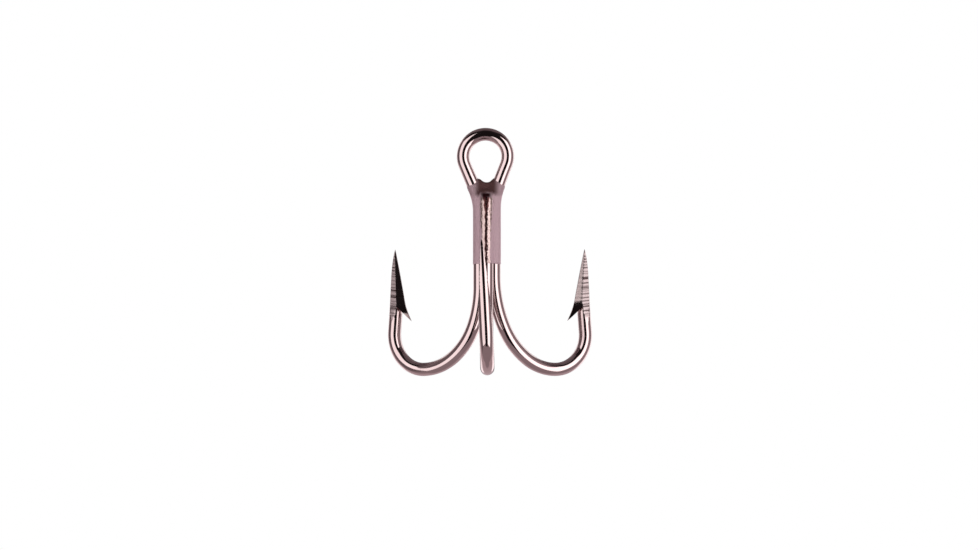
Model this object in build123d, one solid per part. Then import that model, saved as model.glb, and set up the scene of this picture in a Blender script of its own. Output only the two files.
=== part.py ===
"""A treble hook: a double hook bent from one wire, a single hook from a second wire, and the braze that joins them.

Millimetres, +Z up. The origin is the centre of the eye, the eye lies in the XZ plane, and the single hook
points along -Y.
"""

import os
from dataclasses import dataclass
from math import cos, radians, sin, sqrt, tan

from build123d import *

os.makedirs("parts", exist_ok=True)

# The wire and how the three shanks lie together.
WIRE_DIAMETER = 1.6
BRAZE_GAP = 0.06  # the film of braze between two neighbouring shanks
HOOK_TURN = 120.0  # degrees between neighbouring hooks, seen from above

# The eye, measured on the wire's centreline.
EYE_RADIUS = 2.67
EYE_TAPER = 22.0  # degrees from upright to each of its two straight sides
EYE_NECK_RADIUS = 7.2  # the arc from an eye side into its shank

# Heights. A drop is measured down from the eye's centre, on the wire's centreline.
BEND_DROP = 25.38  # the lowest point of each bend
POINT_RISE = 14.62  # from the lowest point of the bends up to the points of the hooks
BRAZE_LIFT = 1.37  # from where the first bend leaves its shank up to the braze's lower edge
SINGLE_TOP_DROP = 4.6  # the upper end of the single hook's wire
CROTCH_DROP = 3.2  # the top of the braze web in the eye's crotch

# The spear: the ground point with its barb. Reach is measured from the leg's centreline, outwards positive,
# and drop is measured down from the point, along the leg.
POINT_REACH = 0.5
THROAT_REACH, THROAT_DROP = -1.1, 5.9
BARB_REACH, BARB_DROP = -2.4, 8.6
FLARE_HOLLOW = 0.16  # how far the inner edge hollows between throat and barb
NOTCH_REACH, NOTCH_DROP = -0.4, 6.9
NOTCH_LENGTH = 0.9
GRIND_DROP = 7.2  # where the ground flats run out on the back of the wire
POINT_HALF_WIDTH = 0.06
THROAT_HALF_WIDTH = 0.2

# The braze.
GROOVE_FILL = 0.6  # how far the braze stands out from the line between two shank centres
WEB_HALF_WIDTH = 0.6  # half the thickness of the web between the eye's sides
WEB_TOP_RADIUS = 0.95  # the hollow of the web's upper edge
CAP_RISE = 0.9  # how far the braze climbs above the single hook's end

wire_radius = WIRE_DIAMETER / 2
pitch = WIRE_DIAMETER + BRAZE_GAP
shank_offset = pitch / sqrt(3)  # from the treble's axis to each shank's centre
axis_y = -shank_offset * sin(radians(HOOK_TURN - 90))


@dataclass(frozen=True)
class Bend:
    """The arcs of one hook: radii and turns from the shank to its lowest point, then the arc up to the leg."""

    radii: tuple
    turns: tuple
    leg_radius: float
    leg_lean: float = 5.0  # degrees that the leg leans inwards above the bend
    point_lean: float = 1.5  # degrees that it still leans at the point

    @property
    def drop(self):
        """How far the bend falls from the straight shank to its lowest point."""
        total, angle = 0.0, 0.0
        for radius, turn in zip(self.radii, self.turns):
            total += radius * (sin(radians(angle + turn)) - sin(radians(angle)))
            angle += turn
        return total


LEFT_BEND = Bend(radii=(12.4, 8.6, 7.3), turns=(21.5, 34.0, 34.5), leg_radius=4.25)
RIGHT_BEND = Bend(radii=(14.5, 9.5, 6.6), turns=(25.0, 30.7, 34.3), leg_radius=4.2)
FRONT_BEND = Bend(radii=(13.4, 9.0, 7.0), turns=(23.0, 32.5, 34.5), leg_radius=4.25)

straight_drop = BEND_DROP - max(bend.drop for bend in (LEFT_BEND, RIGHT_BEND, FRONT_BEND))
braze_foot_drop = straight_drop - BRAZE_LIFT


def hook_plane(azimuth):
    """The upright plane of one hook: its x runs out from the treble's axis and its y runs up."""
    out = Vector(cos(radians(azimuth)), sin(radians(azimuth)), 0)
    return Plane(origin=(0, axis_y, 0), x_dir=out, z_dir=out.cross(Vector(0, 0, 1)))


def round_wire(path):
    """A round wire swept along a smooth path of lines and arcs."""
    start = Plane(origin=path @ 0, z_dir=path % 0)
    return sweep(start * Circle(wire_radius), path=path)


def slab(outline, half_width):
    """A flat outline in a hook's own plane, thickened to both sides."""
    return extrude(outline, amount=half_width, both=True)


class Hook:
    """One hook in its own plane: the wire from its shank's top to the point, and the ground spear."""

    def __init__(self, bend, shank_top):
        self.bend = bend
        heading = (0, -1)
        start = (shank_offset, -(BEND_DROP - bend.drop))
        edges = [Line((shank_offset, -shank_top), start)]
        for radius, turn in zip(bend.radii, bend.turns):
            edges.append(JernArc(start=edges[-1] @ 1, tangent=heading, radius=radius, arc_size=turn))
            heading = edges[-1] % 1
        rise = 90 + bend.leg_lean
        edges.append(JernArc(start=edges[-1] @ 1, tangent=heading, radius=bend.leg_radius, arc_size=rise))
        self.leg = self.leg_arc(edges[-1] @ 1, edges[-1] % 1)
        self.path = Wire([*edges, self.leg])

    def leg_arc(self, start, heading):
        """The leg: a very flat arc from the bend to the point's height, which takes up most of the lean."""
        relief = self.bend.leg_lean - self.bend.point_lean
        height = POINT_RISE - BEND_DROP - start.Y
        lean = radians((self.bend.leg_lean + self.bend.point_lean) / 2)
        radius = height / cos(lean) / (2 * sin(radians(relief / 2)))
        return JernArc(start=start, tangent=heading, radius=radius, arc_size=-relief)

    def at(self, reach, drop, width=0.0):
        """A point of the spear: reach outwards from the leg's centreline, drop down it from the point."""
        share = 1 - drop / self.leg.length
        up = self.leg.tangent_at(share)
        centre = self.leg.position_at(share)
        return centre + Vector(up.Y, -up.X, 0) * reach + Vector(0, 0, width)

    def above_the_notch(self):
        """The side outline of the spear: point, inner edge, barb, the barb's underside, and across the wire."""
        point = self.at(POINT_REACH, 0)
        throat = self.at(THROAT_REACH, THROAT_DROP)
        barb = self.at(BARB_REACH, BARB_DROP)
        notch = self.at(NOTCH_REACH, NOTCH_DROP)
        back = self.at(WIRE_DIAMETER, GRIND_DROP)
        back_top = self.at(WIRE_DIAMETER, GRIND_DROP / 2)
        shoulder = self.at(wire_radius, GRIND_DROP / 3)
        hollow = self.at((THROAT_REACH + BARB_REACH) / 2 + FLARE_HOLLOW, (THROAT_DROP + BARB_DROP) / 2)
        inner = Line(point, throat)
        flare = ThreePointArc(throat, hollow, barb)
        rest = Polyline(barb, notch, back, back_top, shoulder, point)
        return make_face(Wire([inner, flare, *rest.edges()]))

    def below_the_notch(self):
        """What is left of the round leg: an outline that stops at the notch and slopes into it."""
        notch = self.at(NOTCH_REACH, NOTCH_DROP)
        foot = self.at(-wire_radius, NOTCH_DROP + NOTCH_LENGTH)
        clear = WIRE_DIAMETER
        return make_face(Polyline(
            notch, foot, self.at(-clear, self.leg.length), self.at(-clear, self.leg.length) - (clear, 0, 0),
            self.at(-clear, 0) - (clear, 0, 0), self.at(-clear, 0), self.at(clear, 0),
            self.at(clear, GRIND_DROP), close=True))

    def flat(self, side):
        """The stock that grinding takes off one side, beyond the plane of that flat."""
        point = self.at(POINT_REACH, 0, side * POINT_HALF_WIDTH)
        throat = self.at(THROAT_REACH, THROAT_DROP, side * THROAT_HALF_WIDTH)
        back = self.at(wire_radius, GRIND_DROP, side * wire_radius)
        out = (throat - point).cross(back - point).normalized()
        out = out if out.Z * side > 0 else out * -1
        size = 4 * BARB_DROP
        return Plane(origin=point, x_dir=throat - point, z_dir=out) * Box(
            size, size, WIRE_DIAMETER * 2, align=(Align.CENTER, Align.CENTER, Align.MIN))

    def spear(self):
        """The ground spear: round at its back, flat on both sides, and narrow along its inner edge."""
        inner_side = make_face(Polyline(
            self.at(0, 0), self.at(0, self.leg.length), self.at(2 * BARB_REACH, self.leg.length),
            self.at(2 * BARB_REACH, 0), close=True))
        stock = round_wire(Wire([self.leg])) + slab(inner_side, wire_radius)
        blank = slab(self.above_the_notch(), wire_radius) & stock
        return blank - self.flat(1) - self.flat(-1)

    def solid(self):
        """The whole hook in its own plane."""
        return round_wire(self.path) - slab(self.below_the_notch(), WIRE_DIAMETER) + self.spear()


def eye_side(drop):
    """The point of the eye's straight side, on the wire's centreline, at a height below the eye's centre."""
    taper = radians(EYE_TAPER)
    return Vector(EYE_RADIUS / cos(taper) - drop * tan(taper), -drop)


def eye_path():
    """The eye's centreline in its own plane: shank, neck, straight side, round top, and the same mirrored."""
    taper = radians(EYE_TAPER)
    half_pitch = pitch / 2
    side_top = eye_side(EYE_RADIUS * sin(taper))
    corner = eye_side((EYE_RADIUS / cos(taper) - half_pitch) / tan(taper))
    neck = corner - Vector(0, EYE_NECK_RADIUS * tan(taper / 2))
    shank = Line((half_pitch, -braze_foot_drop), neck)
    neck_arc = JernArc(start=neck, tangent=(0, 1), radius=EYE_NECK_RADIUS, arc_size=-EYE_TAPER)
    side = Line(neck_arc @ 1, side_top)
    top = ThreePointArc(side_top, (0, EYE_RADIUS), (-side_top.X, side_top.Y))
    half = [shank, neck_arc, side]
    return Wire([*half, top, *[mirror(edge, about=Plane.YZ).edge() for edge in half]])


def make_double_hook():
    """The double hook: the eye with a hook on each of its two shanks, all one wire."""
    eye = round_wire(Plane.XZ.location * eye_path())
    left = hook_plane(90 + HOOK_TURN / 2).location * Hook(LEFT_BEND, braze_foot_drop).solid()
    right = hook_plane(90 - HOOK_TURN / 2).location * Hook(RIGHT_BEND, braze_foot_drop).solid()
    return eye + left + right


def make_single_hook():
    """The single hook, whose wire starts below the eye."""
    return hook_plane(-90).location * Hook(FRONT_BEND, SINGLE_TOP_DROP).solid()


def shank_bundle():
    """The braze's section along the shanks: the space between them, out to the fill of each groove."""
    centres = [Vector(shank_offset * cos(radians(a)), axis_y + shank_offset * sin(radians(a)))
               for a in (-90, 90 - HOOK_TURN / 2, 90 + HOOK_TURN / 2)]
    corners = []
    for here, after in zip(centres, centres[1:] + centres[:1]):
        out = (after - here).normalized().rotate(Axis.Z, -90) * GROOVE_FILL
        corners += [here + out, after + out]
    return make_face(Polyline(*corners, close=True))


def crotch_web():
    """The web's outline in the eye's plane: it fills the crotch between the sides, hollow along its top."""
    horn_drop = CROTCH_DROP - WEB_TOP_RADIUS
    horn = eye_side(horn_drop)
    foot = Vector(pitch / 2, -SINGLE_TOP_DROP - 2 * CAP_RISE)
    outline = make_face(Polyline(foot, horn, (-horn.X, horn.Y), (-foot.X, foot.Y), close=True))
    return outline - Pos(0, -horn_drop) * Circle(WEB_TOP_RADIUS)


def make_braze(wires):
    """The braze: a core and three filled grooves along the shanks, a sloped cap and the web in the crotch."""
    cap_drop = SINGLE_TOP_DROP - CAP_RISE
    core = Pos(0, 0, -braze_foot_drop) * extrude(shank_bundle(), amount=braze_foot_drop - cap_drop)
    front = axis_y - shank_offset - wire_radius
    slope = make_face(Polyline((front, -SINGLE_TOP_DROP), (0, -cap_drop), (0, 0), (front, 0), close=True))
    core -= extrude(Plane.YZ * slope, amount=pitch, both=True)
    body = core + extrude(Plane.XZ * crotch_web(), amount=WEB_HALF_WIDTH, both=True)
    for wire in wires:
        body -= wire
    return max(body.solids(), key=lambda solid: solid.volume)


double_hook = make_double_hook()
single_hook = make_single_hook()
braze = make_braze((double_hook, single_hook))

for name, shape in (("double_hook", double_hook), ("single_hook", single_hook), ("braze", braze)):
    print(name, len(shape.solids()), round(shape.volume, 3), shape.bounding_box().size)
    export_step(shape, f"parts/{name}.step")
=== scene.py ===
"""The looks of a treble hook: two plated wires with ground, barbed points, and the dull braze on them.

Sizes are in millimetres until they become geometry, +Z is up along the shank, the eye lies in the XZ plane
and the single hook points along -Y.
"""

import logging
from dataclasses import dataclass, field
from enum import Enum
from functools import partial
from math import atan2, ceil, copysign, cos, exp, pi, radians, sin, sqrt, tan
from random import Random
from typing import Callable, Union

import bmesh
import bpy
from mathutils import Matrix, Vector

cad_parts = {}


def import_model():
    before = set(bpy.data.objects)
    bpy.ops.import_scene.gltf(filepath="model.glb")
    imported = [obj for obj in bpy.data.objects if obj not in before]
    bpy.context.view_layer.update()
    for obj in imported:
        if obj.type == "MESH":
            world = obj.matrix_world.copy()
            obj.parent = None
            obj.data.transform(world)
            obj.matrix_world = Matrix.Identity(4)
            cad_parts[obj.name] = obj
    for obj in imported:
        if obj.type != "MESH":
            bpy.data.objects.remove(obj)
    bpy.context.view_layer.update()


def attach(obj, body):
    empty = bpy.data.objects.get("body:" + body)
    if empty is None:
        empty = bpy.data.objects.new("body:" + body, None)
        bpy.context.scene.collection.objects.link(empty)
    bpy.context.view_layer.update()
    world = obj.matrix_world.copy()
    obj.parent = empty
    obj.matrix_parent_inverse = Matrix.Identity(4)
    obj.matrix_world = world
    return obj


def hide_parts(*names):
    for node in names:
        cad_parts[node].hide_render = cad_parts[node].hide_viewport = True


MM = 0.001
log = logging.getLogger("treble_hook")

Socket = bpy.types.NodeSocket
SocketValue = Union[Socket, float, int, bool, str, tuple]
AddNode = Callable[..., Socket]
Ring = list[bmesh.types.BMVert]

ATTRIBUTE, BUMP, NOISE, MIX = "ShaderNodeAttribute", "ShaderNodeBump", "ShaderNodeTexNoise", "ShaderNodeMix"
MATH, RANGE = "ShaderNodeMath", "ShaderNodeMapRange"
SPLIT, COMBINE, STORE = "ShaderNodeSeparateXYZ", "ShaderNodeCombineXYZ", "GeometryNodeStoreNamedAttribute"


def linear(hex_colour: str) -> tuple[float, float, float, float]:
    """Turns an sRGB hex colour into linear RGBA.

    Args:
        hex_colour: six hex digits, such as "8a7078".

    Returns:
        The linear colour, with an alpha of 1.
    """
    channels = [int(hex_colour[i:i + 2], 16) / 255 for i in (0, 2, 4)]
    return (*(c / 12.92 if c <= 0.04045 else ((c + 0.055) / 1.055) ** 2.4 for c in channels), 1.0)


def add_node(tree: bpy.types.NodeTree, kind: str,
             inputs: Union[dict[Union[str, int], SocketValue], tuple[SocketValue, ...]] = (),
             output: Union[str, int] = 0, **settings: object) -> Union[Socket, None]:
    """Adds a node to a tree, sets it up and links it.

    Args:
        tree: the node tree that gets the node.
        kind: the node's type name.
        inputs: a constant or the output socket that feeds it, for its inputs in order, or by name or place.
        output: the name or place of the output that is wanted.
        settings: the node's own properties.

    Returns:
        The wanted output, or None from a node without outputs.
    """
    node = tree.nodes.new(kind)
    for name, value in settings.items():
        setattr(node, name, value)
    for key, value in (inputs if isinstance(inputs, dict) else dict(enumerate(inputs))).items():
        if isinstance(value, Socket):
            tree.links.new(value, node.inputs[key])
        else:
            node.inputs[key].default_value = value
    return node.outputs[output] if len(node.outputs) else None


def new_object(name: str, data: bpy.types.ID) -> bpy.types.Object:
    """Puts an object that holds this data in the scene.

    Args:
        name: the object's name.
        data: its mesh, curve, light or camera.

    Returns:
        The object.
    """
    holder = bpy.data.objects.new(name, data)
    bpy.context.scene.collection.objects.link(holder)
    return holder


def smoothstep(low: float, high: float, value: float) -> float:
    """Rises smoothly from 0 at low to 1 at high."""
    share = min(1.0, max(0.0, (value - low) / (high - low)))
    return share * share * (3 - 2 * share)


# ------------------------------------------------------------------------------
# Sizes


@dataclass(frozen=True)
class WireSizes:
    """The wire, and how the three shanks lie together."""

    diameter: float = 1.6
    braze_gap: float = 0.06
    hook_turn: float = 120.0
    eye_thinning: float = 0.05  # share of the radius that coiling the eye takes off the wire

    @property
    def radius(self) -> float:
        """The wire's radius."""
        return self.diameter / 2

    @property
    def pitch(self) -> float:
        """The distance between the centres of two neighbouring shanks."""
        return self.diameter + self.braze_gap

    @property
    def shank_offset(self) -> float:
        """The distance from the treble's axis to each shank's centre."""
        return self.pitch / sqrt(3)

    @property
    def axis_y(self) -> float:
        """Where the treble's axis stands behind the single hook, the eye's plane being at zero."""
        return -self.shank_offset * sin(radians(self.hook_turn - 90))


@dataclass(frozen=True)
class EyeSizes:
    """The eye, measured on the wire's centreline."""

    radius: float = 2.67
    taper: float = 22.0
    neck_radius: float = 7.2
    lean: float = 0.18  # how far the eye was bent to the left of the shanks
    lean_heights: tuple[float, float] = (-7.0, -1.5)

    def side(self, drop: float) -> float:
        """The distance from the eye's middle to its straight side, at a drop below the eye's centre."""
        return self.radius / cos(radians(self.taper)) - drop * tan(radians(self.taper))

    def side_drop(self, reach: float) -> float:
        """The drop at which the line of the eye's straight side comes this close to the eye's middle."""
        return (self.side(0) - reach) / tan(radians(self.taper))


@dataclass(frozen=True)
class BendSizes:
    """The arcs of one hook, from the shank to its lowest point, and the arc up to the leg."""

    radii: tuple[float, float, float]
    turns: tuple[float, float, float]
    leg_radius: float
    leg_lean: float = 5.0
    point_lean: float = 1.5

    @property
    def drop(self) -> float:
        """How far the bend falls from the straight shank to its lowest point.

        Returns:
            The fall in millimetres.
        """
        total, angle = 0.0, 0.0
        for radius, turn in zip(self.radii, self.turns):
            total += radius * (sin(radians(angle + turn)) - sin(radians(angle)))
            angle += turn
        return total


@dataclass(frozen=True)
class HeightSizes:
    """Heights, as drops below the eye's centre unless they are called a rise."""

    bend_drop: float = 25.38
    point_rise: float = 14.62
    braze_lift: float = 1.37
    single_top_drop: float = 4.6
    crotch_drop: float = 3.1


class Side(Enum):
    """The three hooks, with the way each one points, in degrees from +X."""

    RIGHT = 30.0
    LEFT = 150.0
    FRONT = -90.0


@dataclass(frozen=True)
class SpearSizes:
    """The ground point: reach is measured outwards from the leg's centreline, drop down it from the point."""

    point_reach: float = 0.5
    throat_reach: float = -1.1
    throat_drop: float = 5.9
    barb_reach: float = -2.4
    barb_drop: float = 8.6
    flare_hollow: float = 0.16
    notch_reach: float = -0.4
    notch_drop: float = 6.9
    notch_length: float = 0.9
    back_taper_drop: float = 3.2
    grind_foot_drop: float = 9.45
    flat_at_point: float = 0.07
    flat_growth: float = 0.0985
    flat_easing: float = 0.00194
    flat_tilt: float = 0.01  # how much narrower the flats get, for each mm outwards
    inner_edge_half_width: float = 0.05
    bevel_angles: dict[Side, float] = field(  # degrees between the inner bevel and the hook's plane
        default_factory=lambda: {Side.RIGHT: 37.6, Side.LEFT: 32.8, Side.FRONT: 33.5})
    barb_half_width: float = 0.10
    needle_length: float = 0.4


BENDS = {
    Side.LEFT: BendSizes(radii=(12.4, 8.6, 7.3), turns=(21.5, 34.0, 34.5), leg_radius=4.25),
    Side.RIGHT: BendSizes(radii=(14.5, 9.5, 6.6), turns=(25.0, 30.7, 34.3), leg_radius=4.2),
    Side.FRONT: BendSizes(radii=(13.4, 9.0, 7.0), turns=(23.0, 32.5, 34.5), leg_radius=4.25),
}
FRONT_TWIST, FRONT_SWAY = 3.4, 0.05
WIRE, EYE, HEIGHTS, SPEAR = WireSizes(), EyeSizes(), HeightSizes(), SpearSizes()
STRAIGHT_DROP = HEIGHTS.bend_drop - max(bend.drop for bend in BENDS.values())
BRAZE_FOOT_DROP = STRAIGHT_DROP - HEIGHTS.braze_lift


# ------------------------------------------------------------------------------
# Finishes


@dataclass(frozen=True)
class Finish:
    """A finish of bare or plated metal, which its own nodes colour, roughen and bump."""

    name: str

    def surface(self, add: AddNode) -> tuple[Socket, Socket, Socket]:
        """Adds the finish's own nodes, and gives its colour, roughness and normal.

        Args:
            add: adds a node.

        Returns:
            The colour, the roughness and the normal.
        """
        raise NotImplementedError

    def build(self) -> bpy.types.Material:
        """Builds the material.

        Returns:
            The material.
        """
        material = bpy.data.materials.new(self.name)
        material.use_nodes = True
        material.node_tree.nodes.clear()
        add = partial(add_node, material.node_tree)
        tone, rough, normal = self.surface(add)
        shader = add("ShaderNodeBsdfPrincipled",
                     {"Base Color": tone, "Metallic": 1.0, "Roughness": rough, "Normal": normal})
        add("ShaderNodeOutputMaterial", {"Surface": shader})
        return material


@dataclass(frozen=True)
class BlackNickelPlating(Finish):
    """Black nickel over drawn, tumbled steel wire: a dark, mauve mirror with faint drawing lines."""

    name: str = "black_nickel_plating"
    thick: str = "b7a5a4"  # where the plating lies thick, darker and more mauve
    thin: str = "c2b2b0"
    roughness: float = 0.055
    roughness_spread: tuple[float, float] = (0.7, 1.5)  # shares of it, from line to line
    drawing_line: float = 0.09  # mm round the wire; real ones are about 0.02, drawn coarser to show
    drawing_length: float = 5.0  # mm along the wire
    drawing_depth: float = 0.0006  # mm
    ripple: float = 2.2  # mm between the soft waves that straightening leaves
    ripple_height: float = 0.016  # mm

    def surface(self, add: AddNode) -> tuple[Socket, Socket, Socket]:
        """Drawing lines along the wire, and soft waves that carry the two tones.

        Args:
            add: adds a node.

        Returns:
            The colour, the roughness and the normal.
        """
        around = add(ATTRIBUTE, output="Vector", attribute_name="ring")
        along = add(ATTRIBUTE, output="Fac", attribute_name="along")
        x, y, _ = add(SPLIT, (around,)).node.outputs
        run = add(MATH, (along, self.drawing_line / self.drawing_length), operation="MULTIPLY")
        lines = add(NOISE, {"Vector": add(COMBINE, (x, y, run)), "Scale": 1 / (self.drawing_line * MM),
                            "Detail": 2.0})
        ripple = add(NOISE, {"Vector": add("ShaderNodeTexCoord", output="Object"),
                             "Scale": 1 / (self.ripple * MM), "Detail": 1.0})
        tone = add(MIX, {0: ripple, 6: linear(self.thick), 7: linear(self.thin)}, output=2, data_type="RGBA")
        low, high = (self.roughness * share for share in self.roughness_spread)
        rough = add(RANGE, (lines, 0.3, 0.7, low, high))
        waves = add(BUMP, {"Height": ripple, "Strength": 1.0, "Distance": self.ripple_height * MM})
        return tone, rough, add(BUMP, {"Height": lines, "Strength": 0.5, "Distance": self.drawing_depth * MM,
                                       "Normal": waves})


@dataclass(frozen=True)
class GroundPoint(Finish):
    """Flats that a fine wheel grinds on a point before plating: crosswise lines that break up reflections."""

    name: str = "ground_point"
    tone: str = "a59897"
    polished_tone: str = "bcaba9"  # of the round wire beside the flats
    polished_roughness: float = 0.06
    groove_shade_tone: str = "2b1a1a"  # painted shade in the grooves and on the barb
    scratch: float = 0.05  # mm between scratches; real ones are about 0.01, drawn coarser to show
    scratch_stretch: float = 0.06  # how much slower the scratches change across the flat than along it
    scratch_depth: float = 0.002  # mm
    roughness: float = 0.24

    def surface(self, add: AddNode) -> tuple[Socket, Socket, Socket]:
        """Scratches across the flats, painted shade in the grooves and on the barb, and the polished wire
        beside them.

        Args:
            add: adds a node.

        Returns:
            The colour, the roughness and the normal.
        """
        along, groove, ground = (add(ATTRIBUTE, output="Fac", attribute_name=name)
                                 for name in ("along", "groove", "ground"))
        around = add(ATTRIBUTE, output="Vector", attribute_name="ring")
        slow = add("ShaderNodeVectorMath", {0: around, "Scale": self.scratch_stretch}, operation="SCALE")
        x, y, _ = add(SPLIT, (slow,)).node.outputs
        lines = add(NOISE, {"Vector": add(COMBINE, (x, y, along)), "Scale": 1 / (self.scratch * MM),
                            "Detail": 3.0})
        coarse = add(RANGE, (ground, 0.0, 1.0, self.polished_roughness, self.roughness))
        rough = add(MATH, (add(MATH, (lines, 0.5), operation="ADD"), coarse), operation="MULTIPLY")
        tone = linear(self.polished_tone)
        for share, colour in ((ground, self.tone), (groove, self.groove_shade_tone)):
            tone = add(MIX, {0: share, 6: tone, 7: linear(colour)}, output=2, data_type="RGBA")
        return tone, rough, add(BUMP, {"Height": lines, "Strength": 0.6, "Distance": self.scratch_depth * MM})


@dataclass(frozen=True)
class Fade:
    """A smooth change between two levels, from one place to another in mm along the measure it follows."""

    follows: str
    low: float
    high: float
    start: float = 0.0
    end: float = 1.0


@dataclass(frozen=True)
class DullBrazePlating(Finish):
    """Plating over braze that has flowed and frozen: frosted, but for a shine down the single hook's crown.

    Lengths are in millimetres.
    """

    name: str = "dull_braze_plating"
    pale: str = "e8d4d9"
    dark: str = "cdb6bc"
    crotch_shade_tone: str = "6d5150"  # painted shade in the crotch and round the single hook's end
    burnt: str = "2c1416"  # painted shadow: the darkest tone, an arc over the single hook's end where it meets the web
    crown_tone: str = "b4a19c"
    painted_reflection_tone: str = "553634"  # painted reflection: a dark line down the crown's middle
    grain: float = 0.16  # the size of the frozen grain
    grain_depth: float = 0.035
    grain_roughness: float = 0.18  # how much the roughness changes from grain to grain
    lump: float = 0.45  # the size of the soft lumps
    lump_depth: float = 0.1
    patch: float = 1.6  # the size of the patches that shift the edges of the painted shade in the crotch and of the painted shadow, and how far they shift them
    dull: float = 0.75
    shiny: float = 0.22
    crown_ragged: float = 0.7  # how far the crown's edge wanders
    painted_reflection_wobble: float = 0.5
    fades: dict[str, Fade] = field(default_factory=lambda: {
        "crown_half_width": Fade("height", -11.5, -5.0, 0.5 * MM, 0.78 * MM),
        "crown_top": Fade("height", -5.15, -4.9, 1.0, 0.0),
        "front": Fade("depth", -1.45, -1.65),
        # painted reflection: the half width of the dark line down the crown's middle, wider towards the top
        "seam_half_width": Fade("height", -8.0, -5.0, 0.09 * MM, 0.3 * MM),
        # painted shade in the crotch, lighter towards the sides
        "stain": Fade("patchy_height", -5.0, -4.3),
        "stain_sides": Fade("aside", 0.75, 1.7, 1.0, 0.25),
        # painted shadow over the single hook's end, where it meets the web
        "burnt": Fade("patchy_height", -5.6, -4.9),
        "burnt_top": Fade("height", -4.7, -4.4, 1.0, 0.0),
        "burnt_sides": Fade("aside", 0.3, 0.8, 1.0, 0.0),
        "crown": Fade("inside_crown", -0.05, 0.12),
        "seam": Fade("beside_seam", 0.0, 0.08, 1.0, 0.0),
    })

    def surface(self, add: AddNode) -> tuple[Socket, Socket, Socket]:
        """The frost, with the crown, a painted dark reflection down the crown's middle, painted shade in the
        crotch and a painted shadow over the single hook's end laid over it.

        Args:
            add: adds a node.

        Returns:
            The colour, the roughness and the normal.
        """
        spot = add("ShaderNodeTexCoord", output="Object")
        x, depth, height = add(SPLIT, (spot,)).node.outputs
        grain, lumps, patches = (add(NOISE, {"Vector": spot, "Scale": 1 / (size * MM), "Detail": 3.0})
                                 for size in (self.grain, self.lump, self.patch))
        ragged, wobble, shift, uneven = (
            add(MATH, (add(MATH, (pattern, 0.5), operation="SUBTRACT"), much), operation="MULTIPLY")
            for pattern, much in ((lumps, self.crown_ragged * MM), (lumps, self.painted_reflection_wobble * MM),
                                  (patches, self.patch * MM), (grain, self.grain_roughness)))
        known = {"x": x, "depth": depth, "height": height, "ragged": ragged, "wobble": wobble, "shift": shift}
        steps = {  # what a fade follows is worked out just before it
            "crown_half_width": (("aside", "ABSOLUTE", "x"), ("patchy_height", "ADD", "height", "shift")),
            "crown": (("reach", "ADD", "crown_half_width", "ragged"),
                      ("inside_crown", "SUBTRACT", "reach", "aside")),
            "seam": (("swayed", "ADD", "x", "wobble"), ("off_middle", "ABSOLUTE", "swayed"),
                     ("beside_seam", "SUBTRACT", "off_middle", "seam_half_width")),
        }
        for name, fade in self.fades.items():
            for result, operation, *values in steps.get(name, ()):
                known[result] = add(MATH, tuple(known[value] for value in values), operation=operation)
            known[name] = add(RANGE, (known[fade.follows], fade.low * MM, fade.high * MM, fade.start,
                                      fade.end), interpolation_type="SMOOTHSTEP")
        # over the frost: the crown's own tone, the painted reflection, the painted shade in the crotch and
        # the painted shadow
        layers = (
            (self.crown_tone, ("crown", "front", "crown_top")),
            (self.painted_reflection_tone, ("seam", "crown", "front", "crown_top")),
            (self.crotch_shade_tone, ("stain", "stain_sides")),
            (self.burnt, ("burnt", "burnt_top", "front", "burnt_sides")),
        )
        tone = add(MIX, {0: grain, 6: linear(self.dark), 7: linear(self.pale)}, output=2, data_type="RGBA")
        shares = []
        for colour, masks in layers:
            share = known[masks[0]]
            for mask in masks[1:]:
                share = add(MATH, (share, known[mask]), operation="MULTIPLY")
            shares.append(share)
            tone = add(MIX, {0: share, 6: tone, 7: linear(colour)}, output=2, data_type="RGBA")
        gloss = add(RANGE, (shares[0], 0.0, 1.0, self.dull, self.shiny), interpolation_type="SMOOTHSTEP")
        rough = add(MATH, (gloss, uneven), operation="ADD")
        soft = add(BUMP, {"Height": lumps, "Strength": 1.0, "Distance": self.lump_depth * MM})
        return tone, rough, add(BUMP, {"Height": grain, "Strength": 0.8, "Distance": self.grain_depth * MM,
                                       "Normal": soft})


# ------------------------------------------------------------------------------
# Routes: flat paths of lines and arcs


@dataclass(frozen=True)
class Stretch:
    """One straight or evenly curved stretch of a route."""

    start: Vector
    heading: float
    length: float
    curvature: float

    def at(self, run: float) -> tuple[Vector, float]:
        """The point and the heading, in radians, at a run along the stretch.

        Args:
            run: how far along, in millimetres.

        Returns:
            The point and the heading.
        """
        heading = self.heading + self.curvature * run
        if self.curvature == 0:
            return self.start + Vector((cos(heading), sin(heading))) * run, heading
        sideways = Vector((sin(heading) - sin(self.heading), cos(self.heading) - cos(heading)))
        return self.start + sideways / self.curvature, heading


@dataclass(frozen=True)
class Knot:
    """A point of a route with its two handles."""

    before: Vector
    point: Vector
    after: Vector


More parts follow.
